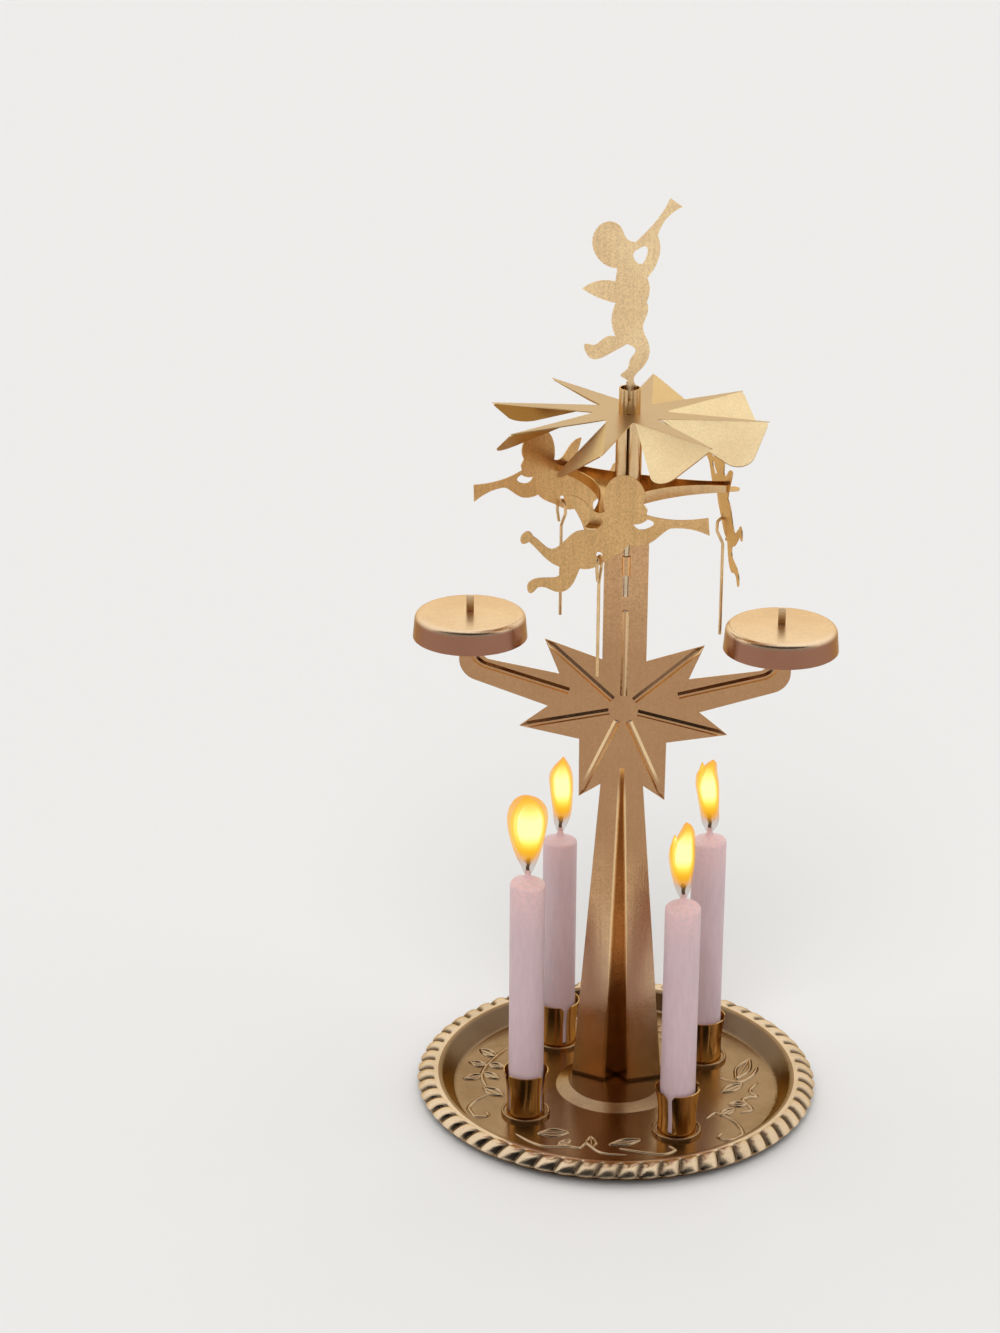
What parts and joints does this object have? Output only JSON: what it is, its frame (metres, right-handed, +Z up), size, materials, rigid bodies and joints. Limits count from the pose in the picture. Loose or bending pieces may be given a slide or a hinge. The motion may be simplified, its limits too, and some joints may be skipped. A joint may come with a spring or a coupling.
{
  "type": "angel chime carousel",
  "caption": "Candle-driven brass chime: candles on a gadrooned tray turn a fan rotor whose flying angels swing strikers against bells on a star-shaped stand",
  "frame": {"origin": "middle of the tray's underside, on the surface that it stands on", "axes": "+Z up along the rotor's axis, +X along the bell arm on the viewer's right, -Y towards the viewer"},
  "size_m": [0.1494, 0.145, 0.3352],
  "materials": {
    "tray_brass": "polished",
    "cup_brass": "satin",
    "stand_brass": "satin",
    "needle_steel": "ground",
    "bell_brass": "polished",
    "rotor_brass": "satin",
    "fan_brass": "satin",
    "angel_brass": "satin",
    "striker_wire": "drawn wire",
    "wax": "wax",
    "wick": "charred at the top"
  },
  "bodies": {
    "stand": {"base_tray": "tray_brass", "cup_rivets": "tray_brass", "stand_post": "stand_brass", "pivot_needle": "needle_steel", "candle_cup_1": "cup_brass", "candle_cup_2": "cup_brass", "candle_cup_3": "cup_brass", "candle_cup_4": "cup_brass"},
    "rotor": {"rotor_hub": "rotor_brass", "pivot_bearing": "rotor_brass", "fan_wheel": "fan_brass", "top_angel": "angel_brass", "flying_angel_1": "angel_brass", "flying_angel_2": "angel_brass", "flying_angel_3": "angel_brass"},
    "striker_1": {"striker_1": "striker_wire"},
    "striker_2": {"striker_2": "striker_wire"},
    "striker_3": {"striker_3": "striker_wire"},
    "bell_left": {"bell_left": "bell_brass"},
    "bell_right": {"bell_right": "bell_brass"},
    "candle_1": {"candle_1": "wax", "wick_1": "wick"},
    "candle_2": {"candle_2": "wax", "wick_2": "wick"},
    "candle_3": {"candle_3": "wax", "wick_3": "wick"},
    "candle_4": {"candle_4": "wax", "wick_4": "wick"}
  },
  "joints": [
    {"name": "rotor_spin", "type": "hinge", "parent": "stand", "child": "rotor", "pos_m": [0, 0, 0.263], "axis": [0, 0, 1], "continuous": true},
    {"name": "striker_1_swing", "type": "hinge", "parent": "rotor", "child": "striker_1", "pos_m": [0.03283, 0.01077, 0.21825], "axis": [-0.2588, 0.9659, 0], "range_deg": [-1, 25]},
    {"name": "striker_2_swing", "type": "hinge", "parent": "rotor", "child": "striker_2", "pos_m": [-0.02482, 0.02397, 0.2181], "axis": [-0.7071, -0.7071, 0], "range_deg": [-1, 25]},
    {"name": "striker_3_swing", "type": "hinge", "parent": "rotor", "child": "striker_3", "pos_m": [-0.00709, -0.03382, 0.21825], "axis": [0.9659, -0.2588, 0], "range_deg": [-1, 25]},
    {"name": "bell_left_spin", "type": "hinge", "parent": "stand", "child": "bell_left", "pos_m": [-0.0545, 0, 0.186], "axis": [0, 0, 1], "continuous": true},
    {"name": "bell_right_spin", "type": "hinge", "parent": "stand", "child": "bell_right", "pos_m": [0.0545, 0, 0.186], "axis": [0, 0, 1], "continuous": true},
    {"name": "candle_1_lift", "type": "slide", "parent": "stand", "child": "candle_1", "axis": [0, 0, 1], "range_m": [0, 0.03]},
    {"name": "candle_2_lift", "type": "slide", "parent": "stand", "child": "candle_2", "axis": [0, 0, 1], "range_m": [0, 0.03]},
    {"name": "candle_3_lift", "type": "slide", "parent": "stand", "child": "candle_3", "axis": [0, 0, 1], "range_m": [0, 0.03]},
    {"name": "candle_4_lift", "type": "slide", "parent": "stand", "child": "candle_4", "axis": [0, 0, 1], "range_m": [0, 0.03]}
  ]
}
